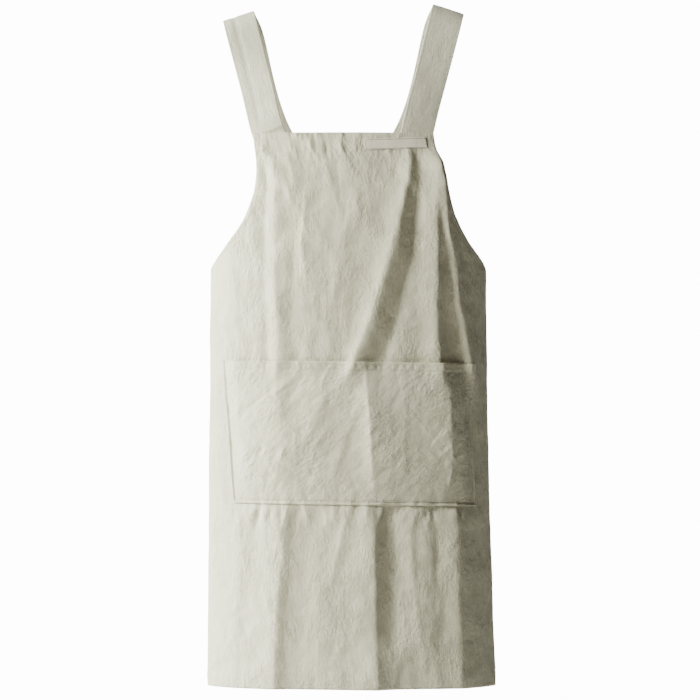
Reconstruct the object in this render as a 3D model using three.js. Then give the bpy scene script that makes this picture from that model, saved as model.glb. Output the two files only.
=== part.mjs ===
// A cross back apron: one wrap-round linen body with a bib, a wide patch pocket, a bare
// sewn-on label, and two straps that go over the shoulders and cross at the back.
// It hangs as worn. Millimetres, +Z up, the front faces -Y and +X is to the viewer's right.
// The origin is midway between the straps where they rest on the shoulders.
import * as THREE from 'three';

// Body.
const BIB_TO_HEM = 785;       // from the bib's top edge to the hem at the centre front
const BIB_WIDTH = 265;        // along the bib's top edge
const BIB_DROP = 177.5;       // from the shoulders down to the bib's top edge
const ARMHOLE_DROP = 235;     // from the bib's top edge down to the back corners
const ARMHOLE_POWER = 3;      // the higher, the longer the armhole runs straight down
const BACK_GAP = 60;          // between the two back edges
const HALF_WIDTH = 199;       // of the body, from its side line to the middle
const FRONT_DEPTH = 117;      // from the side line to the front, at the waist
const BACK_DEPTH = 112;       // from the side line to the back, at the waist
const HEM_LIFT = 9;           // the back hem hangs this much lower than the front hem

// Cloth, hems and the gap that is kept between sewn layers.
const CLOTH = 1.2;
const BIB_HEM = 28;           // turned-in band at the bib's top edge
const BOTTOM_HEM = 20;        // turned-in band at the bottom edge
const SEAM_GAP = 0.4;

// Straps.
const STRAP_WIDTH = 47;
const STRAP_THICKNESS = 2;
const STRAP_GAP = 0.7;        // to the cloth that a strap is sewn to, and at the crossing
const STRAP_LAP = 24;         // length sewn behind the bib, and behind each back corner
const SHOULDER_SPAN = 302;    // between the straps' middles on the shoulders
const SHOULDER_RADIUS = 46;   // of the bend over a shoulder
const SHOULDER_SLOPE = 18;    // degrees
const SHOULDER_TILT = 10;     // the right strap rides this much higher than the left one
const CROSS_DROP = 325;       // from the shoulders down to the crossing
const CROSS_DEPTH = 104;      // from the side line back to the crossing
const BLADE_BULGE = 15;       // the straps stand this far back over the shoulder blades
const BLADE_SPREAD = 26;      // and this far to the sides there

// Pocket.
const POCKET_WIDTH = 379;     // along its mouth
const POCKET_TAPER = 16;      // its foot is this much narrower
const POCKET_HEIGHT = 202;
const POCKET_DROP = 324;      // from the bib's top edge to the pocket's mouth
const POCKET_LEAN = 13;       // its foot hangs this far towards +X of its mouth
const POCKET_TILT = 5;        // its right side is sewn this much lower than its left
const POCKET_SLACK = 8;       // how far its mouth stands off the body
const POCKET_GAP = 0.5;       // along its sewn edges

// Label.
const LABEL_LENGTH = 92;
const LABEL_HEIGHT = 16;
const LABEL_DROP = 6;         // from the bib's top edge to the label's right end
const LABEL_INSET = 13;       // from the bib's right edge
const LABEL_THICKNESS = 1;
const LABEL_TILT = 2.3;       // degrees, right end up

const FOLD_HEIGHT = 9;        // of the deepest fold

// A table's rows as objects, from the names of its columns.
function table(columns, rows) {
  const names = columns.split(' ');
  return rows.map((row) => Object.fromEntries(row.map((value, i) => [names[i], value])));
}

// The body's horizontal sections. down is a share of BIB_TO_HEM, width of HALF_WIDTH,
// front of FRONT_DEPTH and back of BACK_DEPTH. sway is how far the section's middle hangs
// towards +X, as a share of HALF_WIDTH.
const SECTIONS = table('name down width front back sway', [
  ['bib top', 0.0, 1.0, 0.8, 0.93, -0.003],
  ['bib middle', 0.08, 1.0, 0.93, 0.94, 0.038],
  ['bust', 0.16, 0.995, 1.03, 0.95, 0.042],
  ['underarm', 0.26, 0.995, 1.04, 0.97, 0.036],
  ['waist', 0.41, 1.0, 1.0, 1.0, 0.036],
  ['pocket foot', 0.67, 1.013, 1.04, 1.04, 0.042],
  ['hem', 1.0, 1.04, 1.1, 1.09, 0.058],
]);

// The main folds of the body. from and to are shares of BIB_TO_HEM. start, middle and end
// say where the crest runs, and left and right how wide its flanks are, as shares of the
// flat half width. height is a share of FOLD_HEIGHT, and below 0 the fold is a valley.
const BODY_FOLDS = table('name from to start middle end left right height', [
  ['bib diagonal', 0, 0.5, 0.205, 0.1, -0.03, 0.05, 0.035, 1.1],
  ['bib trough', 0, 0.5, 0.225, 0.185, 0.12, 0.04, 0.03, -0.6],
  ['bib broad', 0.02, 0.5, 0.25, 0.275, 0.285, 0.06, 0.025, 0.95],
  ['right ridge', 0.07, 0.5, 0.275, 0.34, 0.42, 0.02, 0.04, 0.8],
  ['left ridge', 0.02, 0.5, -0.225, -0.22, -0.215, 0.03, 0.045, 0.35],
  ['left edge', 0.14, 0.5, -0.38, -0.375, -0.36, 0.04, 0.04, 0.25],
  ['skirt left', 0.61, 1.1, -0.175, -0.222, -0.235, 0.09, 0.03, 0.75],
  ['skirt trough', 0.61, 1.05, -0.125, -0.168, -0.18, 0.03, 0.05, -0.4],
  ['skirt crease', 0.61, 1.2, 0.062, 0.071, 0.074, 0.07, 0.03, 0.85],
  ['skirt hollow', 0.61, 0.9, 0.115, 0.11, 0.12, 0.03, 0.035, -0.45],
  ['skirt slant', 0.61, 1.1, 0.238, 0.228, 0.3, 0.045, 0.03, 0.5],
  ['skirt right', 0.61, 1.1, 0.318, 0.322, 0.332, 0.08, 0.05, 0.8],
  ['back left', 0.3, 1.2, -0.72, -0.73, -0.75, 0.06, 0.07, 0.7],
  ['back right', 0.3, 1.2, 0.7, 0.72, 0.74, 0.07, 0.06, 0.7],
]);

// The pocket's own folds. mouth and foot say where the crest runs at its top and bottom
// edge, and left and right how wide its flanks are, as shares of half its width; height is
// a share of FOLD_HEIGHT.
const POCKET_FOLDS = table('name mouth foot left right height', [
  ['middle', 0.157, 0.16, 0.1, 0.2, 0.7],
  ['slant', 0.02, -0.72, 0.12, 0.08, 0.3],
  ['right', 0.8, 0.82, 0.3, 0.09, 0.8],
]);

// The straps. side is -1 for the viewer's left. inset is how far from the bib's edge a strap
// is sewn, as a share of STRAP_WIDTH, rise a share of SHOULDER_TILT, and over is 1 for the
// strap that passes outside the other at the crossing.
const STRAPS = table('name side inset rise over', [
  ['strap_left', -1, 0, -0.5, 0],
  ['strap_right', 1, 0.02, 0.5, 1],
]);

// The straps lie flat together this far from the crossing, as a share of STRAP_WIDTH.
const CROSSING_REACH = 1.25;

// How finely the pieces are meshed.
const CENTRE_COLUMNS = 52;
const WING_COLUMNS = 11;
const BIB_ROWS = 8;
const WAIST_ROWS = 4;
const POCKET_ROWS = 6;
const SKIRT_ROWS = 9;
const STRAP_COLUMNS = 4;
const LABEL_COLUMNS = 8;

const BIB_TOP_Z = -BIB_DROP;
const BIB_HALF = BIB_WIDTH / 2;
const QUARTER = Math.PI / 2;

const lerp = THREE.MathUtils.lerp;
const clamp01 = (t) => Math.min(1, Math.max(0, t));
const smooth = (t) => clamp01(t) ** 2 * (3 - 2 * clamp01(t));

// The value of one column of SECTIONS at a share of the way down, on a smooth curve.
function sectionValue(column, down) {
  const rows = SECTIONS;
  let i = 0;
  while (i < rows.length - 2 && down > rows[i + 1].down) i++;
  const slope = (j) => {
    const a = rows[Math.max(0, j - 1)];
    const b = rows[Math.min(rows.length - 1, j + 1)];
    return (b[column] - a[column]) / (b.down - a.down);
  };
  const span = rows[i + 1].down - rows[i].down;
  const t = (down - rows[i].down) / span;
  const inside = clamp01(t);
  const hermite =
    (1 + 2 * inside) * (1 - inside) ** 2 * rows[i][column] +
    inside ** 2 * (3 - 2 * inside) * rows[i + 1][column] +
    inside * (1 - inside) ** 2 * span * slope(i) +
    inside ** 2 * (inside - 1) * span * slope(i + 1);
  return hermite + (t - inside) * span * slope(t > 1 ? i + 1 : i);
}

// Angles round the waist's oval at even steps, with the length of cloth up to each.
const ROUND_STEPS = 720;
const roundLengths = [0];
for (let i = 1; i <= ROUND_STEPS; i++) {
  const angle = ((i - 0.5) / ROUND_STEPS) * Math.PI;
  const depth = angle < QUARTER ? FRONT_DEPTH : BACK_DEPTH;
  const speed = Math.hypot(HALF_WIDTH * Math.cos(angle), depth * Math.sin(angle));
  roundLengths.push(roundLengths[i - 1] + (speed * Math.PI) / ROUND_STEPS);
}
const FLAT_HALF = roundLengths[ROUND_STEPS] - BACK_GAP / 2;

// The angle round the body of the cloth that lies a length across from the centre front.
function angleAt(across) {
  const wanted = Math.abs(across);
  let low = 0;
  let high = ROUND_STEPS;
  while (high - low > 1) {
    const mid = (low + high) >> 1;
    if (roundLengths[mid] <= wanted) low = mid;
    else high = mid;
  }
  const part = (wanted - roundLengths[low]) / (roundLengths[high] - roundLengths[low]);
  return (Math.sign(across) * (low + part) * Math.PI) / ROUND_STEPS;
}

// How far one fold lifts the cloth at a place across, where its crest is at middle.
function flank(across, middle, left, right) {
  const off = across - middle;
  return Math.exp(-((off / (off < 0 ? left : right)) ** 2));
}

// The crest of a fold at t from 0 to 1, on a parabola through its three places.
function crest(fold, t) {
  const a = (1 - t) * (1 - 2 * t) * fold.start;
  return a + 4 * t * (1 - t) * fold.middle + t * (2 * t - 1) * fold.end;
}

function bodyRelief(across, down) {
  const x = across / FLAT_HALF;
  const y = down / BIB_TO_HEM;
  let lift = 0;
  for (const fold of BODY_FOLDS) {
    const t = (y - fold.from) / (fold.to - fold.from);
    if (t <= 0 || t >= 1) continue;
    const strength = smooth(t * 6) * smooth((1 - t) * 5);
    const place = crest(fold, t);
    lift += fold.height * strength * flank(x, place, fold.left, fold.right);
  }
  // The strap's pull keeps the bib's top band and the back corners flat.
  const topBand = smooth((down - BIB_HEM) / BIB_HEM);
  const corner = smooth((FLAT_HALF - Math.abs(across)) / STRAP_WIDTH - 1);
  const cornerHold = lerp(corner, 1, smooth((down - ARMHOLE_DROP - STRAP_LAP) / STRAP_LAP));
  return lift * FOLD_HEIGHT * topBand * cornerHold;
}

// The body's oval at a place: its half width and depth there, the angle round it and the
// cloth's outward side.
function ovalAt(across, down) {
  const share = down / BIB_TO_HEM;
  const angle = angleAt(across);
  const width = HALF_WIDTH * sectionValue('width', share);
  const depth = Math.abs(angle) < QUARTER
    ? FRONT_DEPTH * sectionValue('front', share)
    : BACK_DEPTH * sectionValue('back', share);
  const out = new THREE.Vector3(depth * Math.sin(angle), -width * Math.cos(angle), 0);
  return { share, angle, width, depth, out: out.normalize() };
}

// A point of the body's middle surface moved out by offset. across and down are measured
// on the flat cloth from the centre front and from the bib's top edge.
function bodyPoint(across, down, offset) {
  const { share, angle, width, depth, out } = ovalAt(across, down);
  const hang = (HEM_LIFT * share * (1 - Math.cos(angle))) / 2;
  return new THREE.Vector3(
    HALF_WIDTH * sectionValue('sway', share) + width * Math.sin(angle),
    -depth * Math.cos(angle),
    BIB_TOP_Z - down - hang,
  ).addScaledVector(out, offset + bodyRelief(across, down));
}

// A closed wall between two grids of points, given as functions of row and column.
function wall(rows, columns, outer, inner) {
  const points = [];
  const index = [];
  for (const side of [outer, inner])
    for (let r = 0; r <= rows; r++)
      for (let c = 0; c <= columns; c++) points.push(side(r, c));
  const at = (side, r, c) => side * (rows + 1) * (columns + 1) + r * (columns + 1) + c;
  const quad = (a, b, c, d) => index.push(a, b, c, a, c, d);
  for (let r = 0; r < rows; r++)
    for (let c = 0; c < columns; c++) {
      quad(at(0, r, c), at(0, r + 1, c), at(0, r + 1, c + 1), at(0, r, c + 1));
      quad(at(1, r, c), at(1, r, c + 1), at(1, r + 1, c + 1), at(1, r + 1, c));
    }
  for (let c = 0; c < columns; c++) {
    quad(at(0, 0, c), at(0, 0, c + 1), at(1, 0, c + 1), at(1, 0, c));
    quad(at(0, rows, c + 1), at(0, rows, c), at(1, rows, c), at(1, rows, c + 1));
  }
  for (let r = 0; r < rows; r++) {
    quad(at(0, r + 1, 0), at(0, r, 0), at(1, r, 0), at(1, r + 1, 0));
    quad(at(0, r, columns), at(0, r + 1, columns), at(1, r + 1, columns), at(1, r, columns));
  }
  return { points, index };
}

function geometryOf({ points, index }) {
  const geometry = new THREE.BufferGeometry().setFromPoints(points);
  geometry.setIndex(index);
  geometry.computeVertexNormals();
  return geometry;
}

// Half the body's flat width at a length below the bib's top edge: the armhole's curve.
const SWEEP = FLAT_HALF - BIB_HALF;
function edgeAt(down) {
  return BIB_HALF + SWEEP * (1 - Math.sqrt(1 - clamp01(down / ARMHOLE_DROP) ** ARMHOLE_POWER));
}

// The same curve the other way round: how far below the bib's top it is at a place across.
function edgeDown(across) {
  const part = clamp01((FLAT_HALF - Math.abs(across)) / SWEEP);
  return ARMHOLE_DROP * (1 - part ** 2) ** (1 / ARMHOLE_POWER);
}

// The body's grid has wings from this row down, which run round to the back edges.
const YOKE_DOWN = 0.85 * ARMHOLE_DROP;
const YOKE_HALF = edgeAt(YOKE_DOWN);

// Cloth is twice as thick in the turned-in bands, which end in a short step.
const HEM_STEP = 1;
const HEM_TOP = BIB_TO_HEM - BOTTOM_HEM;
function bodyInner(down) {
  const doubled = down <= BIB_HEM || down >= HEM_TOP;
  return -CLOTH / 2 - (doubled ? CLOTH : 0);
}

// Evenly spaced values from a to b in so many steps, without a.
const steps = (a, b, count) =>
  Array.from({ length: count }, (_, i) => lerp(a, b, (i + 1) / count));

// The rows of the body's grid. The pocket's mouth and foot lie on rows of their own.
const POCKET_FOOT = POCKET_DROP + POCKET_HEIGHT;
const BAND_FOOT = BIB_HEM + HEM_STEP;
const UPPER_DOWNS = [0, BIB_HEM, BAND_FOOT, ...steps(BAND_FOOT, YOKE_DOWN, BIB_ROWS)];
const LOWER_DOWNS = [
  ...steps(YOKE_DOWN, POCKET_DROP, WAIST_ROWS),
  ...steps(POCKET_DROP, POCKET_FOOT, POCKET_ROWS),
  ...steps(POCKET_FOOT, HEM_TOP - HEM_STEP, SKIRT_ROWS),
  HEM_TOP,
  BIB_TO_HEM,
];

// The places across of the grid's columns below the yoke row.
const COLUMNS = [
  -FLAT_HALF,
  ...steps(-FLAT_HALF, -YOKE_HALF, WING_COLUMNS),
  ...steps(-YOKE_HALF, YOKE_HALF, CENTRE_COLUMNS),
  ...steps(YOKE_HALF, FLAT_HALF, WING_COLUMNS),
];

// The body is one wall over a grid whose top rows have no wings.
function bodyGeometry() {
  const outer = [];
  const inner = [];
  const add = (across, down) => {
    outer.push(bodyPoint(across, down, CLOTH / 2));
    inner.push(bodyPoint(across, down, bodyInner(down)));
    return outer.length - 1;
  };
  const last = COLUMNS.length - 1;
  const inCentre = (c) => c >= WING_COLUMNS && c <= last - WING_COLUMNS;
  const grid = UPPER_DOWNS.map((down) =>
    COLUMNS.map((place, c) => (inCentre(c) ? add((place / YOKE_HALF) * edgeAt(down), down) : -1)));
  const yoke = grid.pop();
  const fill = (down) => COLUMNS.map((place, c) => {
    const top = inCentre(c) ? YOKE_DOWN : edgeDown(place);
    return add(place, lerp(top, BIB_TO_HEM, (down - YOKE_DOWN) / (BIB_TO_HEM - YOKE_DOWN)));
  });
  grid.push(COLUMNS.map((place, c) => (inCentre(c) ? yoke[c] : add(place, edgeDown(place)))));
  grid.push(...LOWER_DOWNS.map(fill));

  const index = [];
  const count = outer.length;
  const quad = (a, b, c, d) => index.push(a, b, c, a, c, d);
  const rim = new Map();
  for (let r = 0; r < grid.length - 1; r++)
    for (let c = 0; c < last; c++) {
      const ring = [grid[r][c], grid[r + 1][c], grid[r + 1][c + 1], grid[r][c + 1]];
      if (ring[0] < 0 || ring[3] < 0) continue;
      quad(...ring);
      quad(...ring.map((i) => i + count).reverse());
      ring.forEach((a, i) => {
        const b = ring[(i + 1) % 4];
        if (!rim.delete(`${b},${a}`)) rim.set(`${a},${b}`, [a, b]);
      });
    }
  for (const [a, b] of rim.values()) quad(b, a, a + count, b + count);
  return geometryOf({ points: outer.concat(inner), index });
}

// How far the pocket's inside stands off the body, at shares x across and y down.
function pocketStand(x, y) {
  const side = 2 * x - 1;
  let slack = POCKET_SLACK;
  for (const fold of POCKET_FOLDS) {
    const place = lerp(fold.mouth, fold.foot, y);
    slack += FOLD_HEIGHT * fold.height * flank(side, place, fold.left, fold.right);
  }
  return CLOTH / 2 + POCKET_GAP + slack * Math.sqrt(1 - side ** 6) * (1 - y ** 3);
}

// The pocket's columns lie on the body's own, between its two leaning edges.
function pocketGeometry() {
  const reach = (side, y) =>
    side * (POCKET_WIDTH - POCKET_TAPER * y) / 2 + POCKET_LEAN * (y - 0.5) + POCKET_LEAN / 4;
  const within = (side) => Math.min(side * reach(side, 0), side * reach(side, 1)) - 2 * CLOTH;
  const inside = COLUMNS.filter((place) => place > -within(-1) && place < within(1));
  const point = (r, c, offset) => {
    const y = r / POCKET_ROWS;
    const [left, right] = [reach(-1, y), reach(1, y)];
    const across = c === 0 ? left : c > inside.length ? right : inside[c - 1];
    const x = (across - left) / (right - left);
    const down = POCKET_DROP + POCKET_HEIGHT * y + POCKET_TILT * (x - 0.5);
    return bodyPoint(across, down, pocketStand(x, y) + offset);
  };
  return geometryOf(wall(
    POCKET_ROWS, inside.length + 1,
    (r, c) => point(r, c, CLOTH), (r, c) => point(r, c, 0)));
}

function labelGeometry() {
  const right = BIB_HALF - LABEL_INSET;
  const rise = Math.tan(THREE.MathUtils.degToRad(LABEL_TILT));
  const point = (r, c, offset) => {
    const back = LABEL_LENGTH * (1 - c / LABEL_COLUMNS);
    const down = LABEL_DROP + LABEL_HEIGHT * r + back * rise;
    return bodyPoint(right - back, down, CLOTH / 2 + SEAM_GAP + offset);
  };
  return geometryOf(wall(
    1, LABEL_COLUMNS, (r, c) => point(r, c, LABEL_THICKNESS), (r, c) => point(r, c, 0)));
}

// A stop of a strap that is sewn inside the cloth. out is square to the cloth there, and bow
// is how much the strap's width curves with it.
function sewnStop(across, down, layers, count) {
  const inside = CLOTH * (layers - 0.5) + STRAP_GAP + STRAP_THICKNESS / 2;
  const half = STRAP_WIDTH / 2;
  const at = (place, row) => bodyPoint(place, row, -inside);
  const point = at(across, down);
  const sideways = at(across + half, down).sub(at(across - half, down));
  const downwards = at(across, down + half).sub(at(across, down - half));
  const out = downwards.cross(sideways).normalize();
  const edges = at(across - half, down).add(at(across + half, down)).divideScalar(2);
  return { point, out, bow: point.clone().sub(edges).dot(out), count };
}

// The stops of a strap, from behind the bib's corner over the shoulder and across the back
// to behind the other back corner. count is the number of steps from one to the next.
function strapStops({ side, inset, rise }) {
  const bib = side * (BIB_HALF - STRAP_WIDTH * (inset + 0.5));
  const wing = -side * (FLAT_HALF - STRAP_WIDTH / 2);
  const wingTop = edgeDown(wing);
  const slope = THREE.MathUtils.degToRad(SHOULDER_SLOPE);
  const top = new THREE.Vector3(side * SHOULDER_SPAN / 2, 0, rise * SHOULDER_TILT);
  const up = new THREE.Vector3(side * Math.sin(slope), 0, Math.cos(slope));
  const front = sewnStop(bib, 0, 2, 7);
  const rear = sewnStop(wing, wingTop, 1, 2);
  const crossing = new THREE.Vector3(0, CROSS_DEPTH, -CROSS_DROP);
  const bend = (to, degrees, count) => {
    const turn = THREE.MathUtils.degToRad(degrees);
    const away = to.clone().sub(top).setY(0).normalize();
    const point = top.clone().addScaledVector(away, SHOULDER_RADIUS * (1 - Math.cos(turn)));
    point.y += SHOULDER_RADIUS * Math.sin(turn);
    const out = up.clone().multiplyScalar(Math.cos(turn));
    out.y += Math.sin(turn);
    return { point, out, bow: 0, count };
  };
  const chest = front.point.clone().lerp(bend(front.point, -62, 0).point, 0.5);
  const blade = bend(crossing, 62, 0).point.lerp(crossing, 0.45);
  blade.y += BLADE_BULGE;
  blade.x += side * BLADE_SPREAD;
  // The sewn ends keep the lean that the strap has where it leaves the cloth.
  const lean = (side * (top.x - front.point.x)) / (top.z - front.point.z);
  const slant = Math.abs(rear.point.x - crossing.x) / (crossing.z - rear.point.z);
  return [
    sewnStop(bib - side * lean * STRAP_LAP, STRAP_LAP, 2, 2),
    front,
    { point: chest, out: front.out.clone().addScaledVector(up, 0.3), bow: 0, count: 6 },
    bend(front.point, -62, 3),
    bend(front.point, -30, 3),
    bend(front.point, 0, 3),
    bend(crossing, 30, 3),
    bend(crossing, 62, 7),
    { point: blade, out: new THREE.Vector3(side * 0.25, 1, 0.2), bow: 0, count: 8 },
    { point: crossing, out: new THREE.Vector3(0, 1, 0), bow: 0, count: 6 },
    rear,
    sewnStop(wing + side * slant * STRAP_LAP, wingTop + STRAP_LAP, 1, 0),
  ];
}

function strapGeometry(strap) {
  const stops = strapStops(strap);
  const line = new THREE.CatmullRomCurve3(stops.map((stop) => stop.point), false, 'centripetal');
  const last = stops.length - 1;
  const crossing = stops[last - 2].point;
  const stations = [];
  const addStation = (k, t) => {
    const from = stops[k];
    const to = stops[Math.min(k + 1, last)];
    const middle = line.getPoint((k + t) / last);
    const along = line.getTangent((k + t) / last);
    // Near the crossing both straps lie on one surface, which is level along X.
    const away = middle.distanceTo(crossing) / STRAP_WIDTH;
    const nearness = 1 - smooth(away - CROSSING_REACH);
    const level = new THREE.Vector3(1, 0, 0).cross(along).normalize();
    const out = from.out.clone().normalize().lerp(to.out.clone().normalize(), t);
    out.lerp(level, nearness).addScaledVector(along, -out.dot(along)).normalize();
    const across = new THREE.Vector3().crossVectors(out, along).normalize();
    middle.addScaledVector(out, strap.over * nearness * (STRAP_THICKNESS + STRAP_GAP));
    stations.push({ middle, out, across, bow: lerp(from.bow, to.bow, t) });
  };
  for (let k = 0; k < last; k++)
    for (let i = 0; i < stops[k].count; i++) addStation(k, i / stops[k].count);
  addStation(last, 0);
  const point = (r, c, offset) => {
    const { middle, out, across, bow } = stations[r];
    const aside = 2 * (c / STRAP_COLUMNS) - 1;
    return middle.clone()
      .addScaledVector(across, (aside * STRAP_WIDTH) / 2)
      .addScaledVector(out, offset - bow * aside ** 2);
  };
  const half = STRAP_THICKNESS / 2;
  return geometryOf(wall(
    stations.length - 1, STRAP_COLUMNS,
    (r, c) => point(r, c, half), (r, c) => point(r, c, -half)));
}

const linen = (name, colour) =>
  new THREE.MeshStandardMaterial({ name, color: colour, roughness: 0.92, metalness: 0 });
const bodyLinen = linen('body_linen', 0xc6c4b6);
const pocketLinen = linen('pocket_linen', 0xc9c7b9);
const strapLinen = linen('strap_linen', 0xc3c1b3);
const labelCotton = linen('label_cotton', 0xdcd8cb);

const apron = new THREE.Group();
const addPiece = (name, geometry, material) => {
  const mesh = new THREE.Mesh(geometry, material);
  mesh.name = name;
  apron.add(mesh);
};
addPiece('apron_body', bodyGeometry(), bodyLinen);
addPiece('pocket', pocketGeometry(), pocketLinen);
addPiece('label', labelGeometry(), labelCotton);
for (const strap of STRAPS) addPiece(strap.name, strapGeometry(strap), strapLinen);

export default apron;
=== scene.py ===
# A cross back apron of washed linen, hanging as worn, in soft studio light from the left.
# Sizes are in millimetres until a mesh is made. +Z is up and the front faces -Y.
import math

import bpy
import numpy as np
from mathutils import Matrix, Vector, noise


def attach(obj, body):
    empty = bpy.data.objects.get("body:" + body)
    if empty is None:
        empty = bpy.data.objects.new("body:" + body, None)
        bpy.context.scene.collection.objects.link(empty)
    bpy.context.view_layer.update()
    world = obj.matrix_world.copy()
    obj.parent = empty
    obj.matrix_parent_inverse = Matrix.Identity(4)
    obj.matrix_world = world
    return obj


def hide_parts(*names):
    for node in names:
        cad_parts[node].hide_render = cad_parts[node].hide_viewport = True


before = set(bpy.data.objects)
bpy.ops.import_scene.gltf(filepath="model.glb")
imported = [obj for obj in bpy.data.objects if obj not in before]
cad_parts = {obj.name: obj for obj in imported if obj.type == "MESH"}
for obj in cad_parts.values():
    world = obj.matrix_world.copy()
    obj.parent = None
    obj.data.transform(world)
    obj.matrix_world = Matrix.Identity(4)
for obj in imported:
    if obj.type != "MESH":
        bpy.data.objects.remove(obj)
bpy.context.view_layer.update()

MM = 0.001

# Sizes of the body.
BIB_TO_HEM = 785
BIB_WIDTH = 265
BIB_DROP = 177.5
ARMHOLE_DROP = 235
ARMHOLE_POWER = 3
BACK_GAP = 60
HALF_WIDTH = 199
FRONT_DEPTH = 117
BACK_DEPTH = 112
HEM_LIFT = 9
CLOTH = 1.2
BIB_HEM = 28
BOTTOM_HEM = 20
SIDE_HEM = 9
FOLD_HEIGHT = 9

# Sizes of the straps.
STRAP_WIDTH = 47
STRAP_THICKNESS = 2
STRAP_GAP = 0.7
STRAP_LAP = 24
SHOULDER_SPAN = 302
SHOULDER_RADIUS = 46
SHOULDER_SLOPE = 18
SHOULDER_TILT = 10
CROSS_DROP = 325
CROSS_DEPTH = 104
BLADE_BULGE = 15
BLADE_SPREAD = 26
CROSSING_REACH = 1.25
SHOULDER_TURN = 62
HALF_TURN = 30
SHOULDER_STEPS = 14

# Sizes of the pocket.
POCKET_WIDTH = 379
POCKET_TAPER = 16
POCKET_HEIGHT = 202
POCKET_DROP = 324
POCKET_LEAN = 13
POCKET_TILT = 5
POCKET_SLACK = 8
POCKET_GAP = 0.5
POCKET_HEM = 12
POCKET_BORDER = 4.6
BAG_RISE = 26
MOUTH_SLACK = 0.3
MOUTH_REACH = 0.35

# Sizes of the label.
LABEL_LENGTH = 92
LABEL_HEIGHT = 16
LABEL_DROP = 6
LABEL_INSET = 13
LABEL_GAP = 0.2
LABEL_THICKNESS = 0.6
LABEL_TILT = 2.3
LABEL_BORDER = 1.5
LABEL_WAVE = 0.1
LABEL_STITCH_RADIUS = 0.6

# Stitches: the length of one, from one to the next, and the thread's radius.
STITCH = 2.7
STITCH_PITCH = 3.8
THREAD_RADIUS = 0.32
STITCH_INSET = 3.0

# The photo is 700 pixels wide, with 1.44 mm to a pixel at the straps' own distance.
PHOTO_PIXELS = 700
PIXEL = 1.44
PHOTO_ORIGIN = (343.5, 13)
CAMERA_DISTANCE = 5000
SENSOR = 36


def table(columns, rows):
    """Rows of a table as dictionaries, from its column names."""
    names = columns.split()
    return [dict(zip(names, row)) for row in rows]


# The body's horizontal sections, as shares of the sizes above.
SECTIONS = table(
    "name down width front back sway",
    [
        ("bib top", 0.0, 1.0, 0.8, 0.93, -0.003),
        ("bib middle", 0.08, 1.0, 0.93, 0.94, 0.038),
        ("bust", 0.16, 0.995, 1.03, 0.95, 0.042),
        ("underarm", 0.26, 0.995, 1.04, 0.97, 0.036),
        ("waist", 0.41, 1.0, 1.0, 1.0, 0.036),
        ("pocket foot", 0.67, 1.013, 1.04, 1.04, 0.042),
        ("hem", 1.0, 1.04, 1.1, 1.09, 0.058),
    ],
)

# Folds of the body. first and last are shares of its length. start, middle and end say
# where the crest runs, and left and right how wide its flanks are, as shares of the flat
# half width. height is a share of FOLD_HEIGHT. A low power makes a crisp crest, and lens
# is how much narrower a fold is at its two ends.
FOLD_COLUMNS = "name first last start middle end left right height power lens"
BODY_FOLDS = table(
    FOLD_COLUMNS,
    [
        ("bib diagonal", 0, 0.5, 0.2, 0.106, -0.045, 0.029, 0.05, 1.25, 1.6, 0.4),
        ("bib trough", -0.03, 0.5, 0.218, 0.178, 0.06, 0.03, 0.024, -0.5, 1.7, 0),
        ("bib broad", -0.02, 0.5, 0.258, 0.262, 0.28, 0.034, 0.028, 1.4, 1.7, 0),
        ("right ridge", 0.02, 0.5, 0.263, 0.324, 0.41, 0.017, 0.048, 1.3, 1.7, 0),
        ("left ridge", 0.02, 0.5, -0.225, -0.22, -0.215, 0.022, 0.035, 0.45, 1.6, 0),
        ("left edge", 0.14, 0.5, -0.38, -0.375, -0.36, 0.04, 0.04, 0.25, 2, 0),
        ("skirt left", 0.658, 1.1, -0.18, -0.212, -0.218, 0.09, 0.03, 0.9, 1.4, 0),
        ("skirt trough", 0.658, 1.05, -0.15, -0.184, -0.192, 0.02, 0.05, -0.45, 1.8, 0),
        ("skirt crease", 0.658, 1.2, 0.066, 0.07, 0.071, 0.07, 0.03, 1.2, 1.2, 0),
        ("skirt hollow", 0.658, 0.95, 0.125, 0.12, 0.13, 0.045, 0.035, -0.7, 1.8, 0),
        ("skirt slant", 0.658, 1.1, 0.238, 0.228, 0.3, 0.03, 0.05, 0.3, 1.8, 0),
        ("skirt right", 0.658, 1.1, 0.326, 0.326, 0.325, 0.045, 0.075, 1.0, 1.5, 0),
        ("back left", 0.3, 1.2, -0.72, -0.73, -0.75, 0.06, 0.07, 0.7, 2, 0),
        ("back right", 0.3, 1.2, 0.7, 0.72, 0.74, 0.07, 0.06, 0.7, 2, 0),
    ],
)

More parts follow.
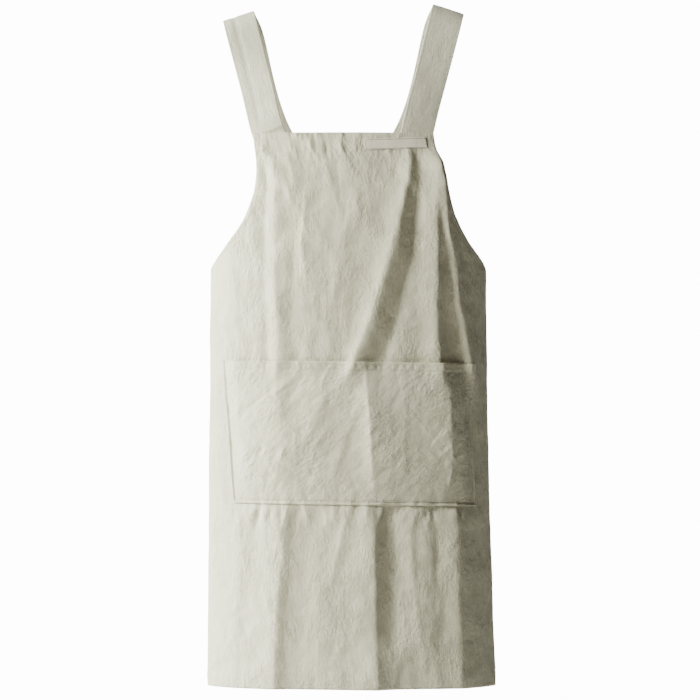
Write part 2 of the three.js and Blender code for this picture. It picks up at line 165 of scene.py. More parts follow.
# Small folds that only the look needs, with the same columns.
SMALL_FOLDS = table(
    FOLD_COLUMNS,
    [
        ("left line", 0.04, 0.48, -0.25, -0.258, -0.24, 0.014, 0.012, -0.22, 1.5, 0),
        ("left crease", 0.14, 0.5, -0.15, -0.175, -0.165, 0.02, 0.02, -0.2, 1.6, 0),
        ("left slant", -0.02, 0.2, -0.2, -0.165, -0.13, 0.012, 0.02, 0.16, 1.5, 0),
        ("left slant low", 0.08, 0.3, -0.19, -0.15, -0.12, 0.012, 0.02, 0.14, 1.5, 0),
        ("hollow by diagonal", 0.16, 0.42, 0.045, 0.03, 0.015, 0.03, 0.02, -0.2, 2, 0),
        ("bib line", 0.02, 0.16, 0.05, 0.055, 0.06, 0.012, 0.012, 0.09, 1.6, 0),
        ("bib vee left", 0.0, 0.16, -0.08, -0.06, -0.02, 0.012, 0.014, 0.1, 1.6, 0),
        ("bib vee right", 0.0, 0.14, -0.01, -0.02, -0.04, 0.014, 0.014, 0.1, 1.6, 0),
        ("right valley", 0.2, 0.5, 0.27, 0.302, 0.345, 0.012, 0.012, -0.1, 1.6, 0),
        ("skirt streak", 0.658, 1.02, 0.185, 0.19, 0.235, 0.014, 0.012, 0.25, 1.4, 0),
        ("skirt dark streak", 0.658, 0.85, 0.262, 0.26, 0.256, 0.01, 0.012, -0.15, 1.5, 0),
        ("skirt pucker one", 0.658, 0.82, 0.01, -0.03, -0.055, 0.01, 0.014, 0.2, 1.4, 0),
        ("skirt far left", 0.658, 1.05, -0.34, -0.345, -0.35, 0.03, 0.02, 0.2, 1.6, 0),
        ("hem crease", 0.88, 1.02, -0.2, -0.17, -0.15, 0.014, 0.014, 0.12, 1.6, 0),
    ],
)

# The pocket's folds, as shares of half its width and of its height.
POCKET_FOLDS = table(
    "name mouth foot left right height power",
    [
        ("middle", 0.135, 0.14, 0.075, 0.26, 1.35, 1.05),
        ("slant", 0.02, -0.72, 0.14, 0.1, 0.25, 1.8),
        ("right", 0.74, 0.745, 0.2, 0.15, 1.05, 1.2),
        ("left valley", -0.9, -0.88, 0.03, 0.04, -0.12, 1.6),
        ("left ridge", -0.53, -0.52, 0.22, 0.1, 0.5, 1.8),
        ("left ridge low", -0.3, -0.25, 0.1, 0.1, 0.12, 2),
        ("small slant", 0.2, -0.25, 0.03, 0.03, 0.1, 1.5),
        ("small right", 0.42, 0.36, 0.04, 0.03, 0.1, 1.5),
    ],
)

# The straps: how far from the bib's edge each is sewn as a share of its width, how much
# higher it rides as a share of SHOULDER_TILT, which one is over at the crossing, and how
# deep its lengthwise crease is.
STRAPS = table(
    "name side inset rise over crease",
    [
        ("strap_left", -1, 0, -0.5, 0, 0.9),
        ("strap_right", 1, 0.02, 0.5, 1, 0.2),
    ],
)

QUARTER = math.pi / 2
BIB_HALF = BIB_WIDTH / 2


def smooth(t):
    t = np.clip(t, 0, 1)
    return t * t * (3 - 2 * t)


def lerp(a, b, t):
    return a + (b - a) * t


def section(column, share):
    """The value of a column of SECTIONS at a share of the way down, on a smooth curve."""
    down = np.array([row["down"] for row in SECTIONS])
    value = np.array([row[column] for row in SECTIONS])
    before = np.maximum(np.arange(len(down)) - 1, 0)
    after = np.minimum(np.arange(len(down)) + 1, len(down) - 1)
    slope = (value[after] - value[before]) / (down[after] - down[before])
    i = np.clip(np.searchsorted(down, share, side="right") - 1, 0, len(down) - 2)
    span = down[i + 1] - down[i]
    t = (share - down[i]) / span
    inside = np.clip(t, 0, 1)
    rest = 1 - inside
    curve = (1 + 2 * inside) * rest**2 * value[i]
    curve = curve + inside**2 * (3 - 2 * inside) * value[i + 1]
    curve = curve + inside * rest**2 * span * slope[i]
    curve = curve + inside**2 * (inside - 1) * span * slope[i + 1]
    return curve + (t - inside) * span * np.where(t > 1, slope[i + 1], slope[i])


# Length of cloth round the waist's oval up to each angle.
ROUND_ANGLES = np.linspace(0, math.pi, 2001)
_middles = (ROUND_ANGLES[1:] + ROUND_ANGLES[:-1]) / 2
_depths = np.where(_middles < QUARTER, FRONT_DEPTH, BACK_DEPTH)
_speeds = np.hypot(HALF_WIDTH * np.cos(_middles), _depths * np.sin(_middles))
ROUND_LENGTHS = np.concatenate([[0], np.cumsum(_speeds * np.diff(ROUND_ANGLES))])
FLAT_HALF = ROUND_LENGTHS[-1] - BACK_GAP / 2
SWEEP = FLAT_HALF - BIB_HALF


def angle_at(across):
    return np.sign(across) * np.interp(np.abs(across), ROUND_LENGTHS, ROUND_ANGLES)


def edge_at(down):
    """Half the body's flat width at a length below the bib's top edge."""
    t = np.clip(down / ARMHOLE_DROP, 0, 1)
    return BIB_HALF + SWEEP * (1 - np.sqrt(1 - t**ARMHOLE_POWER))


def edge_down(across):
    """How far below the bib's top edge the armhole is at a place across."""
    part = np.clip((FLAT_HALF - np.abs(across)) / SWEEP, 0, 1)
    return ARMHOLE_DROP * (1 - part**2) ** (1 / ARMHOLE_POWER)


def flank(off, left, right, power):
    """The height of a fold off its crest, as a share of its full height."""
    return np.exp(-(np.abs(off / np.where(off < 0, left, right)) ** power))


def crest(fold, t):
    """The crest of a fold at t from 0 to 1, on a parabola through its three places."""
    value = (1 - t) * (1 - 2 * t) * fold["start"]
    return value + 4 * t * (1 - t) * fold["middle"] + t * (2 * t - 1) * fold["end"]


# How steeply a fold rises at its first end and fades at its last.
FOLD_RISE = 11
FOLD_FADE = 5


def fold_sum(folds, x, y):
    lift = np.zeros(np.broadcast(x, y).shape)
    for fold in folds:
        t = (y - fold["first"]) / (fold["last"] - fold["first"])
        strength = smooth(t * FOLD_RISE) * smooth((1 - t) * FOLD_FADE)
        waist = 1 - fold["lens"] * (1 - np.sin(math.pi * np.clip(t, 0, 1)))
        off = (x - crest(fold, t)) / waist
        shape = flank(off, fold["left"], fold["right"], fold["power"])
        lift = lift + fold["height"] * strength * shape
    return lift


# How creases lean, in radians from the length of the cloth, and by how much that varies.
UPRIGHT_SPREAD = 0.25
SLANT = 0.75
SLANT_SPREAD = 0.35
PUCKER_SPREAD = 0.22


def make_creases(seed, count, reach, drop, steep, rising, longest, height):
    """Short random creases of washed linen: place, direction, size and height of each.

    steep is the share of nearly upright ones, and rising the share that leans the other way.
    """
    rng = np.random.default_rng(seed)
    upright = rng.random(count) < steep
    straight = rng.normal(0, UPRIGHT_SPREAD, count)
    lean = np.where(upright, straight, rng.normal(SLANT, SLANT_SPREAD, count))
    lean = lean * np.where(rng.random(count) < rising, -1, 1)
    return {
        "across": rng.uniform(-reach, reach, count),
        "down": rng.uniform(0, drop, count),
        "cos": np.cos(lean),
        "sin": np.sin(lean),
        "length": rng.uniform(0.2, 1, count) * longest,
        "width": rng.uniform(0.055, 0.15, count) * longest,
        "height": rng.normal(0, height, count),
    }


def make_puckers(seed, count, reach, down, length, width, height):
    """Small gathers along a seam, all nearly square to it."""
    rng = np.random.default_rng(seed)
    lean = rng.normal(0, PUCKER_SPREAD, count)
    return {
        "across": rng.uniform(-reach, reach, count),
        "down": down + rng.normal(0, 0.2, count) * length,
        "cos": np.cos(lean),
        "sin": np.sin(lean),
        "length": length * rng.uniform(0.6, 1.5, count),
        "width": width * rng.uniform(0.7, 1.5, count),
        "height": rng.normal(0, height, count),
    }


def make_ticks(seed, reach, down, pitch, length, width, depth):
    """Small dimples at nearly even steps beside a line of stitches."""
    rng = np.random.default_rng(seed)
    across = np.arange(-reach, reach, pitch)
    count = len(across)
    lean = rng.normal(0, 0.2, count)
    return {
        "across": across + rng.normal(0, 0.15, count) * pitch,
        "down": np.full(count, float(down)),
        "cos": np.cos(lean),
        "sin": np.sin(lean),
        "length": length * rng.uniform(0.8, 1.2, count),
        "width": width * rng.uniform(0.8, 1.3, count),
        "height": -depth * rng.uniform(0.3, 1, count),
    }


def crease_sum(groups, across, down):
    lift = np.zeros(across.shape)
    for creases in groups:
        add_creases(lift, creases, across, down)
    return lift


def add_creases(lift, creases, across, down):
    for i in range(len(creases["across"])):
        dx = across - creases["across"][i]
        dy = down - creases["down"][i]
        along = dx * creases["sin"][i] + dy * creases["cos"][i]
        aside = dx * creases["cos"][i] - dy * creases["sin"][i]
        near = np.abs(along) < 2.2 * creases["length"][i]
        near &= np.abs(aside) < 3 * creases["width"][i]
        if not near.any():
            continue
        shape = np.exp(-((along[near] / creases["length"][i]) ** 2))
        shape = shape * np.exp(-np.abs(aside[near] / creases["width"][i]) ** 1.5)
        lift[near] += creases["height"][i] * shape


def drift(across, down, scale, seed):
    """Slow smooth noise over the cloth, from about -1 to 1."""
    flat = zip((across / scale).ravel(), (down / scale).ravel())
    values = [noise.noise(Vector((u, v, seed))) for u, v in flat]
    return 2 * np.array(values).reshape(across.shape)


def drift_sum(drifts, across, down):
    lift = 0
    for row in drifts:
        aside = across + row["slant"] * down
        lift = lift + row["height"] * drift(aside, row["stretch"] * down, row["scale"], row["seed"])
    return lift


# Slow unevenness of the cloth. scale is the length over which it changes.
DRIFT_COLUMNS = "height scale slant stretch seed"
FOLD_WANDER = table(DRIFT_COLUMNS, [(1.3, 70, 0, 1, 1.3), (0.5, 22, 0, 1, 2.9)])
BODY_DRIFTS = table(DRIFT_COLUMNS, [(1.1, 75, 0, 1, 3.1), (0.7, 18, 0, 0.6, 8.7)])
POCKET_DRIFTS = table(DRIFT_COLUMNS, [(0.9, 60, 0, 1, 5.3), (0.4, 24, 0.8, 1, 6.1)])

# Creases and puckers. reach and drop, or down, say where they lie.
CREASE_COLUMNS = "seed count reach drop steep rising longest height"
PUCKER_COLUMNS = "seed count reach down length width height"
TICK_COLUMNS = "seed reach down pitch length width depth"
POCKET_HALF = POCKET_WIDTH / 2
BELOW_POCKET = POCKET_DROP + POCKET_HEIGHT + 13


def make_all(make, columns, rows):
    return [make(**row) for row in table(columns, rows)]


BODY_CREASES = make_all(
    make_creases, CREASE_COLUMNS, [(11, 1300, FLAT_HALF, BIB_TO_HEM, 0.6, 0.5, 42, 0.5)])
BODY_CREASES += make_all(
    make_puckers,
    PUCKER_COLUMNS,
    [
        (5, 80, BIB_HALF, 0.8 * BIB_HEM, 9, 2.8, 1.4),
        (8, 40, 0.65 * BIB_HALF, 0.1 * BIB_HEM, 6, 2.3, 1.5),
        (6, 44, 0.84 * POCKET_HALF, BELOW_POCKET, 13, 3.4, 2),
        (7, 60, FLAT_HALF, BIB_TO_HEM - BOTTOM_HEM, 7, 4, 0.35),
    ])
POCKET_CREASES = make_all(
    make_creases,
    CREASE_COLUMNS,
    [
        (23, 150, POCKET_HALF, POCKET_HEIGHT, 0.12, 0.85, 42, 0.45),
        (27, 800, POCKET_HALF, POCKET_HEIGHT, 0.12, 0.8, 20, 0.34),
    ])
POCKET_CREASES += make_all(
    make_puckers, PUCKER_COLUMNS, [(25, 50, POCKET_HALF, POCKET_HEIGHT - 8, 5, 3, 0.4)])
POCKET_TICKS = make_all(
    make_ticks, TICK_COLUMNS, [(24, POCKET_HALF, 0.55 * POCKET_HEM, 11, 3.4, 2.0, 1.6)])


# Grooves along the seams: how wide they are, and how deep each is.
GROOVE_WIDTH = 1.6
BIB_GROOVE = 0.4
HEM_GROOVE = 0.45
SIDE_GROOVE = 0.35
POCKET_GROOVE = 1.3
POCKET_GROOVE_WIDTH = 1.9
MOUTH_GROOVE = 0.6

# How much calmer the cloth lies where it turns round the sides, under the label and in the
# bib's band. SIDE_PLACE and SIDE_REACH are shares of the flat half width.
SIDE_PLACE = 0.49
SIDE_REACH = 0.13
SIDE_CALM = 0.6
LABEL_CALM = 0.75
BAND_CALM = 0.3

# How far the hem's edge turns in, and the share of the folds' wander that the skirt keeps.
HEM_TURN_IN = 2.4
SKIRT_WANDER = 0.5

# Over this length the cloth comes free of the straps' sewn ends.
LAP_FADE = 8


def seam_groove(distance, depth, width=GROOVE_WIDTH):
    """The groove that a line of stitches presses into the cloth."""
    return -depth * np.exp(-((distance / width) ** 2))


def body_relief(across, down, fine):
    """How far the body's cloth stands off its smooth form, with the fine forms or without."""
    across, down = np.broadcast_arrays(np.asarray(across, float), np.asarray(down, float))
    x = across / FLAT_HALF
    y = down / BIB_TO_HEM
    if fine:
        wander = drift_sum(FOLD_WANDER, across, down)
        wander = wander * lerp(1, SKIRT_WANDER, smooth(3 * y - 1))
        x = x + wander / FLAT_HALF
    lift = fold_sum(BODY_FOLDS, x, y)
    if fine:
        lift = lift + fold_sum(SMALL_FOLDS, x, y)
    lift = lift * FOLD_HEIGHT
    top_band = smooth((down - BIB_HEM) / BIB_HEM)
    if fine:
        top_band = smooth((down - 0.5 * BIB_HEM) / BIB_HEM)
    corner = smooth((FLAT_HALF - np.abs(across)) / STRAP_WIDTH - 1)
    hold = lerp(corner, 1, smooth((down - ARMHOLE_DROP - STRAP_LAP) / STRAP_LAP))
    lift = lift * top_band * hold
    if not fine:
        return lift
    taut = 1 - SIDE_CALM * np.exp(-(((np.abs(x) - SIDE_PLACE) / SIDE_REACH) ** 4))
    calm = lerp(1 - BAND_CALM, 1, smooth((down - 0.4 * BIB_HEM) / BIB_HEM)) * hold
    label_end = BIB_HALF - LABEL_INSET - LABEL_LENGTH
    label_foot = LABEL_DROP + 1.4 * LABEL_HEIGHT
    by_label = smooth((across - label_end + 6) / 6) * smooth((label_foot - down) / 5)
    calm = calm * (1 - LABEL_CALM * by_label)
    lift = lift + calm * taut * crease_sum(BODY_CREASES, across, down)
    lift = lift + calm * taut * drift_sum(BODY_DRIFTS, across, down)
    lift = lift + seam_groove(down - BIB_HEM, BIB_GROOVE)
    past_hem_seam = down - BIB_TO_HEM + BOTTOM_HEM
    lift = lift + seam_groove(past_hem_seam, HEM_GROOVE)
    lift = lift - HEM_TURN_IN * taut**2 * smooth(past_hem_seam / BOTTOM_HEM)
    side = np.where(down < 0.98 * ARMHOLE_DROP, edge_at(down), FLAT_HALF) - np.abs(across)
    lift = lift + seam_groove(side - SIDE_HEM, SIDE_GROOVE)
    between_straps = BIB_HALF - 1.1 * STRAP_WIDTH - np.abs(across)
    past_lap = smooth(np.maximum(down - STRAP_LAP, between_straps) / LAP_FADE)
    return np.maximum(lift, lerp(-STRAP_GAP / 2, -2 * FOLD_HEIGHT, past_lap))


def oval_at(across, down):
    share = np.asarray(down, float) / BIB_TO_HEM
    angle = angle_at(across)
    width = HALF_WIDTH * section("width", share)
    front = FRONT_DEPTH * section("front", share)
    back = BACK_DEPTH * section("back", share)
    depth = np.where(np.abs(angle) < QUARTER, front, back)
    out = np.stack(np.broadcast_arrays(depth * np.sin(angle), -width * np.cos(angle), 0.0), -1)
    return share, angle, width, depth, out / np.linalg.norm(out, axis=-1, keepdims=True)


def body_point(across, down, offset, fine=False, relief=None):
    """A point of the body's middle surface moved out by offset."""
    across, down = np.broadcast_arrays(np.asarray(across, float), np.asarray(down, float))
    share, angle, width, depth, out = oval_at(across, down)
    if relief is None:
        relief = body_relief(across, down, fine)
    hang = HEM_LIFT * share * (1 - np.cos(angle)) / 2
    x = HALF_WIDTH * section("sway", share) + width * np.sin(angle)
    point = np.stack([x, -depth * np.cos(angle), -BIB_DROP - down - hang], -1)
    return point + out * (offset + relief)[..., None]


def grid_faces(index):
    """The four corners of each cell of an index grid, leaving out cells with a corner of -1."""
    cells = np.stack([index[:-1, :-1], index[1:, :-1], index[1:, 1:], index[:-1, 1:]], -1)
    cells = cells.reshape(-1, 4)
    return cells[(cells >= 0).all(1)]


def wall_object(name, outer, inner, uv, faces, material):
    """A closed wall between two surfaces that share their faces, with a rim round its edge."""
    count = len(outer)
    edges = np.concatenate([np.stack([faces[:, i], faces[:, (i + 1) % 4]], 1) for i in range(4)])
    keys = edges[:, 0] * count + edges[:, 1]
    twins = edges[:, 1] * count + edges[:, 0]
    rim = edges[~np.isin(keys, twins)]
    sides = np.stack([rim[:, 1], rim[:, 0], rim[:, 0] + count, rim[:, 1] + count], 1)
    allfaces = np.concatenate([faces, faces[:, ::-1] + count, sides])
    points = np.concatenate([outer, inner]) * MM
    mesh = bpy.data.meshes.new(name)
    mesh.from_pydata(points.tolist(), [], allfaces.tolist())
    corners = np.zeros(len(mesh.loops), int)
    mesh.loops.foreach_get("vertex_index", corners)
    layer = mesh.uv_layers.new(name="cloth")
    layer.data.foreach_set("uv", (np.concatenate([uv, uv]) * MM)[corners].ravel())
    smooth_flags = np.ones(len(mesh.polygons), bool)
    smooth_flags[2 * len(faces):] = False
    mesh.polygons.foreach_set("use_smooth", smooth_flags)
    mesh.materials.append(material)
    mesh.update()
    made = bpy.data.objects.new(name, mesh)
    bpy.context.scene.collection.objects.link(made)
    return made


class Nodes:
    """A short way to add shader nodes and to join them."""

    def __init__(self, name):
        self.material = bpy.data.materials.new(name)
        self.material.use_nodes = True
        self.tree = self.material.node_tree
        self.shader = self.tree.nodes["Principled BSDF"]

    def add(self, kind, **values):
        node = self.tree.nodes.new(kind)
        for key, value in values.items():
            setattr(node, key, value)
        return node

    def join(self, source, target):
        self.tree.links.new(source, target)

    def math(self, operation, first, second):
        node = self.add("ShaderNodeMath", operation=operation)
        for socket, value in zip(node.inputs, (first, second)):
            if isinstance(value, (int, float)):
                socket.default_value = value
            else:
                self.join(value, socket)
        return node.outputs[0]

    def noise(self, vector, scale, detail=2.0, roughness=0.5):
        node = self.add("ShaderNodeTexNoise")
        node.inputs["Scale"].default_value = scale
        node.inputs["Detail"].default_value = detail
        node.inputs["Roughness"].default_value = roughness
        self.join(vector, node.inputs["Vector"])
        return node.outputs["Fac"]

    def turn(self, vector, angle):
        node = self.add("ShaderNodeMapping")
        node.inputs["Rotation"].default_value = (0, 0, angle)
        self.join(vector, node.inputs["Vector"])
        return node.outputs["Vector"]

    def stretch(self, vector, across, down):
        node = self.add("ShaderNodeMapping")
        node.inputs["Scale"].default_value = (across, down, 1)
        self.join(vector, node.inputs["Vector"])
        return node.outputs["Vector"]

    def wave(self, vector, scale, direction):
        node = self.add("ShaderNodeTexWave", wave_type="BANDS", bands_direction=direction)
        node.inputs["Scale"].default_value = scale
        node.inputs["Distortion"].default_value = 1.2
        node.inputs["Detail"].default_value = 2
        self.join(vector, node.inputs["Vector"])
        return node.outputs["Fac"]

    def mix(self, factor, first, second):
        node = self.add("ShaderNodeMix", data_type="RGBA")
        self.join(factor, node.inputs[0])
        for socket, value in ((node.inputs[6], first), (node.inputs[7], second)):
            if isinstance(value, tuple):
                socket.default_value = (*value, 1)
            else:
                self.join(value, socket)
        return node.outputs[2]


# Linen's look. Grains are in waves to a metre: a thread's is fine across it and long along it.
# The crinkles calm down in patches to a share of CALM_PATCH.
FINE_GRAIN = 1400
LONG_GRAIN = 26
THREAD_SHARE = 0.65
MOTTLE_GRAIN = 34
WRINKLE_GRAIN = 260
RUMPLE_GRAIN = 90
RUMPLE_SHARE = 1.6
PATCH_GRAIN = 17
CALM_PATCH = 0.2
WEAVE_DEPTH = 0.0003
CRINKLE_DEPTH = 0.0046
LIGHT_SHARE = 1.1
DARK_SHARE = 0.88


def linen(name, tone, crinkle, thread=0.0007, slub=0.16, lean=0.0):
    """Washed linen: uneven threads both ways, slubs, soft mottling and a crinkled surface."""
    n = Nodes(name)
    cloth = n.add("ShaderNodeUVMap", uv_map="cloth").outputs["UV"]
    light = tuple(min(1, c * LIGHT_SHARE) for c in tone)
    dark = tuple(c * DARK_SHARE for c in tone)
    warp = n.noise(n.stretch(cloth, FINE_GRAIN, LONG_GRAIN), 1, 3, 0.6)
    weft = n.noise(n.stretch(cloth, LONG_GRAIN, FINE_GRAIN), 1, 3, 0.6)
    threads = n.math("MULTIPLY", n.math("ADD", warp, weft), 0.5)
    mottle = n.math("MULTIPLY", n.noise(cloth, MOTTLE_GRAIN, 4, 0.6), 1 - THREAD_SHARE)
    shade = n.math("ADD", n.math("MULTIPLY", threads, THREAD_SHARE), mottle)
    ramp = n.add("ShaderNodeMapRange")
    ramp.inputs["From Min"].default_value = 0.5 - slub
    ramp.inputs["From Max"].default_value = 0.5 + slub
    n.join(shade, ramp.inputs["Value"])
    n.join(n.mix(ramp.outputs[0], dark, light), n.shader.inputs["Base Color"])

    waves = 1 / thread / (2 * math.pi) * 2
    weave = n.math("ADD", n.wave(cloth, waves, "X"), n.wave(cloth, waves, "Y"))
    weave_bump = n.add("ShaderNodeBump")
    weave_bump.inputs["Strength"].default_value = 0.5
    weave_bump.inputs["Distance"].default_value = WEAVE_DEPTH
    n.join(n.math("ADD", weave, n.math("MULTIPLY", threads, 3)), weave_bump.inputs["Height"])
    grain = n.turn(cloth, lean)
    wrinkles = n.noise(n.stretch(grain, 1, 0.6), WRINKLE_GRAIN, 3, 0.6)
    rumple = n.noise(n.stretch(grain, 1, 0.5), RUMPLE_GRAIN, 3, 0.6)
    patches = n.add("ShaderNodeMapRange")
    patches.inputs["From Min"].default_value = 0.35
    patches.inputs["From Max"].default_value = 0.65
    patches.inputs["To Min"].default_value = CALM_PATCH
    n.join(n.noise(cloth, PATCH_GRAIN, 2, 0.5), patches.inputs["Value"])
    crinkle_bump = n.add("ShaderNodeBump")
    crinkle_bump.inputs["Strength"].default_value = 1
    crinkle_bump.inputs["Distance"].default_value = crinkle * CRINKLE_DEPTH
    rough = n.math("ADD", wrinkles, n.math("MULTIPLY", rumple, RUMPLE_SHARE))
    rough = n.math("MULTIPLY", rough, patches.outputs[0])
    n.join(rough, crinkle_bump.inputs["Height"])
    n.join(crinkle_bump.outputs["Normal"], weave_bump.inputs["Normal"])
    n.join(weave_bump.outputs["Normal"], n.shader.inputs["Normal"])
    n.shader.inputs["Roughness"].default_value = 0.92
    n.shader.inputs["Specular IOR Level"].default_value = 0.25
    n.shader.inputs["Sheen Weight"].default_value = 0.12
    n.shader.inputs["Sheen Roughness"].default_value = 0.5
    return n.material


def thread(name, tone):
    n = Nodes(name)
    place = n.add("ShaderNodeTexCoord").outputs["Object"]
    twist = n.noise(place, 2600, 2, 0.5)
    dark = tuple(c * 0.8 for c in tone)
    n.join(n.mix(twist, dark, tone), n.shader.inputs["Base Color"])
    n.shader.inputs["Roughness"].default_value = 0.8
    return n.material


LINEN_TONE = (0.595, 0.564, 0.38)
STRAP_TONE = (0.59, 0.562, 0.39)
LABEL_TONE = (0.79, 0.71, 0.53)
THREAD_TONE = (0.55, 0.54, 0.46)
LABEL_THREAD_TONE = (0.26, 0.2, 0.14)

body_linen = linen("body_linen", LINEN_TONE, 0.6)
pocket_linen = linen("pocket_linen", LINEN_TONE, 0.6, lean=0.8)
strap_linen = linen("strap_linen", STRAP_TONE, 0.3)
label_cotton = linen("label_cotton", LABEL_TONE, 0.1, thread=0.0004, slub=0.25)
thread_cotton = thread("thread_cotton", THREAD_TONE)
label_thread = thread("label_thread", LABEL_THREAD_TONE)

# The camera faces the apron squarely, level with the middle of the photo.
camera_data = bpy.data.cameras.new("camera")
camera = bpy.data.objects.new("camera", camera_data)
bpy.context.scene.collection.objects.link(camera)
camera_x = (PHOTO_PIXELS / 2 - PHOTO_ORIGIN[0]) * PIXEL
camera_z = -(PHOTO_PIXELS / 2 - PHOTO_ORIGIN[1]) * PIXEL
camera.location = (camera_x * MM, -CAMERA_DISTANCE * MM, camera_z * MM)
camera.rotation_euler = (QUARTER, 0, 0)
camera_data.sensor_width = SENSOR
camera_data.lens = SENSOR * CAMERA_DISTANCE / (PHOTO_PIXELS * PIXEL)
camera_data.clip_end = 100
bpy.context.scene.camera = camera


# Where the pieces are cut from the cloth, so that no two show the same threads.
POCKET_CUT = 900
LABEL_CUT = 2000
STRAP_CUT = 3000

# The body's wall. Above YOKE_DOWN its columns follow the armholes.
YOKE_DOWN = 0.85 * ARMHOLE_DROP
YOKE_HALF = float(edge_at(YOKE_DOWN))
CENTRE_COLUMNS = 172
WING_COLUMNS = 22
YOKE_ROWS = 58
SKIRT_ROWS = 166


def body_thickness(down):
    """Cloth is twice as thick in the turned-in bands."""
    band = (down <= BIB_HEM) | (down >= BIB_TO_HEM - BOTTOM_HEM)
    return CLOTH * np.where(band, 2, 1)


def make_body():
    centre = np.linspace(-YOKE_HALF, YOKE_HALF, CENTRE_COLUMNS + 1)
    wing = np.linspace(YOKE_HALF, FLAT_HALF, WING_COLUMNS + 1)[1:]
    columns = np.concatenate([-wing[::-1], centre, wing])
    in_centre = np.abs(columns) <= YOKE_HALF + 0.001

    upper = np.linspace(0, YOKE_DOWN, YOKE_ROWS + 1)[:-1]
    scale = edge_at(upper) / YOKE_HALF
    across_upper = columns[None, :] * scale[:, None]
    down_upper = np.repeat(upper[:, None], len(columns), 1)
    tops = np.where(in_centre, YOKE_DOWN, edge_down(columns))
    share = np.linspace(0, 1, SKIRT_ROWS + 1)[:, None]
    across_lower = np.repeat(columns[None, :], SKIRT_ROWS + 1, 0)
    down_lower = lerp(tops[None, :], BIB_TO_HEM, share)

    across = np.concatenate([across_upper, across_lower])
    down = np.concatenate([down_upper, down_lower])
    used = np.ones(across.shape, bool)
    used[: len(upper), ~in_centre] = False
    index = np.full(across.shape, -1)
    index[used] = np.arange(used.sum())
    across, down = across[used], down[used]
    relief = body_relief(across, down, True)
    outer = body_point(across, down, CLOTH / 2, relief=relief)
    inner = body_point(across, down, CLOTH / 2 - body_thickness(down), relief=relief)
    uv = np.stack([across, -down], 1)
    return wall_object("apron_body_cloth", outer, inner, uv, grid_faces(index), body_linen)


# The pocket's wall.
POCKET_COLUMNS = 190
POCKET_ROWS = 104
BORDER_STEPS = 14

# How high the turned border and the turned mouth stand, how wide their rounded outer edge is,
# and where and how steeply they end at their seam.
BORDER_RISE = 1.2
MOUTH_RISE = 0.7
EDGE_ROUND = 1.2
SEAM_SIDE = 1.6
SEAM_SLOPE = 1.4

# The pocket's own creases start at FREE_START from its edge and are whole FREE_RUN further in.
FREE_START = 2
FREE_RUN = 30

# How far the cloth may sink: a little by itself, and by a share of what the bag gives it.
SINK = 0.35
SINK_SHARE = 0.6

# The body's folds show down to this share of the pocket, where the bag is this loose or more.
FOLDS_SHOW = 0.3
BAG_LOOSE = 6


def pocket_place(x, y):
    """The place on the body of a point of the pocket, at shares across and down it."""
    half = (POCKET_WIDTH - POCKET_TAPER * y) / 2
    middle = POCKET_LEAN * (y - 0.5) + POCKET_LEAN / 4
    across = middle + (2 * x - 1) * half
    down = POCKET_DROP + POCKET_HEIGHT * y + POCKET_TILT * (x - 0.5)
    return across, down


def pocket_bag(x, y):
    """How far the pocket's inside stands off its place on the body, beyond the gap."""
    side = 2 * x - 1
    slack = np.full(np.broadcast(x, y).shape, float(POCKET_SLACK))
    for fold in POCKET_FOLDS:
        place = lerp(fold["mouth"], fold["foot"], y)
        shape = flank(side - place, fold["left"], fold["right"], fold["power"])
        slack = slack + FOLD_HEIGHT * fold["height"] * shape
    from_side = (1 - np.abs(side)) * POCKET_WIDTH / 2
    loose = smooth((from_side - 0.8 * POCKET_BORDER) / BAG_RISE) * (1 - y**3)
    return slack * loose * lerp(MOUTH_SLACK, 1, smooth(y / MOUTH_REACH))


def pocket_point(x, y, offset):
    across, down = pocket_place(x, y)
    edge = np.minimum(np.minimum(x, 1 - x) * POCKET_WIDTH, (1 - y) * POCKET_HEIGHT)
    free = smooth((edge - FREE_START) / FREE_RUN)
    own_across = (x - 0.5) * POCKET_WIDTH
    own_down = y * POCKET_HEIGHT
    own = crease_sum(POCKET_CREASES, own_across, own_down)
    own = free * (own + drift_sum(POCKET_DRIFTS, own_across, own_down))
    own = own + crease_sum(POCKET_TICKS, own_across, own_down)
    own = own + seam_groove(own_down - POCKET_HEM, MOUTH_GROOVE)
    own = own + seam_groove(edge - POCKET_BORDER, POCKET_GROOVE, POCKET_GROOVE_WIDTH)
    border = smooth(edge / EDGE_ROUND)
    border = border * (1 - smooth((edge - POCKET_BORDER + SEAM_SIDE) / SEAM_SLOPE))
    hem = smooth(own_down / EDGE_ROUND)
    hem = hem * (1 - smooth((own_down - POCKET_HEM + SEAM_SIDE) / SEAM_SLOPE))
    own = own + np.maximum(BORDER_RISE * border, MOUTH_RISE * hem)
    bag = pocket_bag(x, y)
    stand = CLOTH / 2 + POCKET_GAP + bag + np.maximum(own, -SINK - SINK_SHARE * bag)
    folds = body_relief(across, down, False) * (1 - smooth(y / FOLDS_SHOW))
    relief = lerp(body_relief(across, down, True), folds, smooth(bag / BAG_LOOSE))
    return body_point(across, down, stand + offset, relief=relief)


def shares(size, count):
    """Shares of a size from 0 to 1, close together near both ends, where the border is."""
    end = np.linspace(0, 2 * POCKET_BORDER / size, BORDER_STEPS + 1)
    return np.concatenate([end[:-1], np.linspace(end[-1], 1 - end[-1], count), 1 - end[-2::-1]])


def make_pocket():
    x, y = np.meshgrid(shares(POCKET_WIDTH, POCKET_COLUMNS), shares(POCKET_HEIGHT, POCKET_ROWS))
    index = np.arange(x.size).reshape(x.shape)
    outer = pocket_point(x, y, CLOTH).reshape(-1, 3)
    inner = pocket_point(x, y, 0).reshape(-1, 3)
    uv = np.stack([x.ravel() * POCKET_WIDTH + POCKET_CUT, -y.ravel() * POCKET_HEIGHT], 1)
    return wall_object("pocket_cloth", outer, inner, uv, grid_faces(index), pocket_linen)


